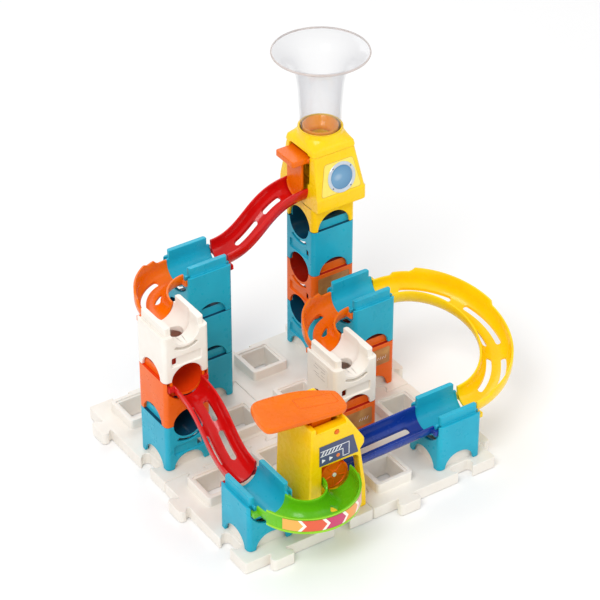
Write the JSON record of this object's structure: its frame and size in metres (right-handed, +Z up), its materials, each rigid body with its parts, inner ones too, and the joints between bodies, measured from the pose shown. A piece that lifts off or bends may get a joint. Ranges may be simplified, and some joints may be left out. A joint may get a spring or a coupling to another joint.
{
  "type": "marble run",
  "caption": "Marble run of stacked blocks on jigsaw base tiles, with curved and sloping tracks, a gated launcher with funnel, and a press lever.",
  "frame": {"origin": "middle of the footprint, on the surface the base tiles stand on", "axes": "+Z up; +X and +Y along the two directions of the base grid, +X from the left tower towards the launch tower and the yellow half turn"},
  "size_m": [0.3326, 0.3026, 0.3132],
  "materials": {
    "cyan": "glossy injection-moulded",
    "orange": "glossy injection-moulded",
    "white": "satin injection-moulded",
    "red": "glossy injection-moulded",
    "yellow": "glossy injection-moulded",
    "blue": "glossy injection-moulded",
    "green": "glossy injection-moulded",
    "clear": "clear, polished",
    "pin_steel": "plain round pin",
    "print": "printed sticker"
  },
  "bodies": {
    "run": {"front_channel_block": "cyan", "right_channel_block": "cyan", "left_tower_foot": "cyan", "back_tower_foot": "cyan", "back_tower_middle": "cyan", "back_tower_channel_block": "cyan", "right_tower_channel_block": "cyan", "launch_tower_foot": "cyan", "launch_tower_top": "cyan", "left_tower_exit_block": "orange", "centre_tower_foot": "orange", "right_tower_foot": "orange", "launch_tower_middle": "orange", "back_orange_turn": "orange", "right_orange_turn": "orange", "funnel_cup": "orange", "lever_pin": "orange", "left_tower_drop_block": "white", "centre_tower_drop_block": "white", "base_tile_front": "white", "base_tile_right": "white", "base_tile_left": "white", "base_tile_back": "white", "kicker_axle": "white", "upper_red_slide": "red", "lower_red_slide": "red", "yellow_half_turn": "yellow", "launcher_house": "yellow", "lever_tower": "yellow", "blue_straight_track": "blue", "green_catch_curve": "green", "funnel": "clear", "gate_pin": "pin_steel", "centre_block_sticker": "print", "right_block_sticker": "print", "launch_block_sticker": "print", "path_sticker": "print", "porthole_sticker": "print", "white_block_sticker": "print", "arrow_sticker": "print"},
    "gate": {"launch_gate": "orange"},
    "lever": {"press_lever": "orange"},
    "kicker": {"kicker_wheel": "orange"}
  },
  "joints": [
    {"name": "gate_lift", "type": "hinge", "parent": "run", "child": "gate", "pos_m": [0.04645, 0.10855, 0.2184], "axis": [0, 1, 0], "range_deg": [0, 36]},
    {"name": "lever_press", "type": "hinge", "parent": "run", "child": "lever", "pos_m": [-0.06255, -0.08195, 0.1015], "axis": [0, -1, 0], "range_deg": [0, 10], "stiffness_Nm_per_rad": 0.06, "springref_deg": -17.19},
    {"name": "kicker_turn", "type": "hinge", "parent": "run", "child": "kicker", "pos_m": [-0.06255, -0.10085, 0.0555], "axis": [0, -1, 0], "range_deg": [0, 40]}
  ],
  "couplings": [
    {"joint": "kicker_turn", "follows": "lever_press", "ratio": 4}
  ]
}
